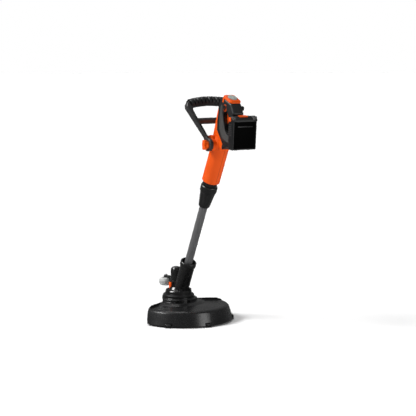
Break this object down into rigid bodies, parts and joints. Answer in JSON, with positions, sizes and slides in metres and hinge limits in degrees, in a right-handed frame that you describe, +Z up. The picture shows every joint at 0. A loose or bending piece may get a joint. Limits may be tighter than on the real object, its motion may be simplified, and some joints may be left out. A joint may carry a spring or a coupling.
{
  "type": "string trimmer",
  "caption": "Battery grass trimmer with telescoping shaft, tilting front bail handle, loop rear grip, fan-shaped guard, line spool and edge guide wheel.",
  "frame": {"origin": "where the spool axis meets the ground under the bump cap", "axes": "+Z up along the spool axis, +X back towards the user, +Y to the user's right"},
  "size_m": [0.443, 0.2914, 0.6866],
  "materials": {
    "orange_shell": "satin",
    "black_plastic": "satin",
    "dark_grey_plastic": "matte",
    "soft_grip": "matte",
    "soft_black": "matte",
    "grey_tube": "satin",
    "light_grey_plastic": "matte",
    "steel": "satin",
    "bronze": "satin",
    "nylon": "satin",
    "line": "satin",
    "cell_wrap": "gloss",
    "board": "satin"
  },
  "bodies": {
    "handle_unit": {"body_shell_left": "orange_shell", "body_shell_right": "orange_shell", "handle_frame_left": "black_plastic", "handle_frame_right": "black_plastic", "grip_band_left": "soft_grip", "grip_band_right": "soft_grip", "top_cap": "orange_shell", "tube_guide": "black_plastic", "clamp_jaws": "nylon", "switch_module": "black_plastic", "control_board": "board", "terminal_block": "black_plastic", "housing_screws": "steel", "trigger_pin": "steel", "pivot_pins": "steel", "strap_lug": "black_plastic"},
    "collar_unit": {"lock_collar": "dark_grey_plastic"},
    "tube_unit": {"shaft_tube": "grey_tube", "swivel_collar": "nylon", "tube_plug": "nylon"},
    "head_unit": {"head_shell_left": "black_plastic", "head_shell_right": "black_plastic", "socket_ring": "black_plastic", "motor_cap": "black_plastic", "motor_can": "steel", "motor_plate": "steel", "head_flange": "black_plastic", "spindle_bush": "bronze", "guard": "black_plastic", "guard_screws": "steel", "line_cutter": "steel", "cutter_screws": "steel", "wheel_axle": "steel"},
    "release_unit": {"head_release_button": "orange_shell"},
    "rotor_unit": {"motor_shaft": "steel", "motor_armature": "steel", "pinion_gear": "steel"},
    "spool_unit": {"drive_gear": "nylon", "spindle": "steel", "spool_housing": "black_plastic", "line_eyelets": "steel", "line_spool": "dark_grey_plastic", "wound_line": "line", "spool_cap": "dark_grey_plastic", "spool_screw": "dark_grey_plastic"},
    "wheel_unit": {"guide_hub": "dark_grey_plastic", "guide_tyre": "light_grey_plastic"},
    "bail_unit": {"bail_frame": "dark_grey_plastic", "bail_grip_ribs": "soft_black"},
    "bail_button_unit": {"bail_button": "orange_shell"},
    "trigger_unit": {"trigger": "orange_shell"},
    "lock_off_unit": {"lock_off_button": "black_plastic"},
    "dial_unit": {"speed_dial": "light_grey_plastic"},
    "battery_unit": {"battery_case": "black_plastic", "battery_lid": "black_plastic", "battery_cells": "cell_wrap", "cell_holders": "nylon"},
    "latch_unit": {"battery_latch": "orange_shell"}
  },
  "joints": [
    {"name": "collar_twist", "type": "hinge", "parent": "handle_unit", "child": "collar_unit", "pos_m": [0.15637, 0, 0.39133], "axis": [0.4226, 0, 0.9063], "range_deg": [0, 75]},
    {"name": "shaft_telescope", "type": "slide", "parent": "handle_unit", "child": "tube_unit", "axis": [0.4226, 0, 0.9063], "range_m": [-0.12, 0.04]},
    {"name": "head_turn", "type": "hinge", "parent": "tube_unit", "child": "head_unit", "pos_m": [0.04226, 0, 0.14663], "axis": [0.4226, 0, 0.9063], "range_deg": [0, 180]},
    {"name": "head_release_press", "type": "slide", "parent": "head_unit", "child": "release_unit", "axis": [0, 1, 0], "range_m": [0, 0.0025], "stiffness_N_per_m": 900, "springref_m": -0.002},
    {"name": "spool_spin", "type": "hinge", "parent": "head_unit", "child": "spool_unit", "pos_m": [0, 0, 0.05], "axis": [0, 0, 1], "continuous": true},
    {"name": "motor_spin", "type": "hinge", "parent": "head_unit", "child": "rotor_unit", "pos_m": [-0.012, 0, 0.1], "axis": [0, 0, 1], "continuous": true},
    {"name": "guide_wheel_spin", "type": "hinge", "parent": "head_unit", "child": "wheel_unit", "pos_m": [-0.071, 0, 0.102], "axis": [0, 0, 1], "continuous": true},
    {"name": "bail_tilt", "type": "hinge", "parent": "handle_unit", "child": "bail_unit", "pos_m": [0.225, 0, 0.544], "axis": [0, 1, 0], "range_deg": [-60, 12]},
    {"name": "bail_button_press", "type": "slide", "parent": "bail_unit", "child": "bail_button_unit", "axis": [0, 1, 0], "range_m": [0, 0.0025], "stiffness_N_per_m": 1200, "springref_m": -0.002},
    {"name": "trigger_pull", "type": "hinge", "parent": "handle_unit", "child": "trigger_unit", "pos_m": [0.258, 0, 0.638], "axis": [0, 1, 0], "range_deg": [0, 9], "stiffness_Nm_per_rad": 1.2, "springref_deg": -5.73},
    {"name": "lock_off_press", "type": "slide", "parent": "handle_unit", "child": "lock_off_unit", "axis": [0, 1, 0], "range_m": [0, 0.003], "stiffness_N_per_m": 700, "springref_m": -0.002},
    {"name": "dial_turn", "type": "hinge", "parent": "handle_unit", "child": "dial_unit", "pos_m": [0.28496, 0, 0.67893], "axis": [0.4226, 0, 0.9063], "range_deg": [-135, 135]},
    {"name": "battery_slide", "type": "slide", "parent": "handle_unit", "child": "battery_unit", "axis": [0.0698, 0, 0.9976], "range_m": [-0.11, 0]},
    {"name": "battery_latch_press", "type": "slide", "parent": "battery_unit", "child": "latch_unit", "axis": [0.0698, 0, 0.9976], "range_m": [-0.0015, 0], "stiffness_N_per_m": 1500, "springref_m": 0.002}
  ],
  "couplings": [
    {"joint": "motor_spin", "follows": "spool_spin", "ratio": -2.3333}
  ]
}
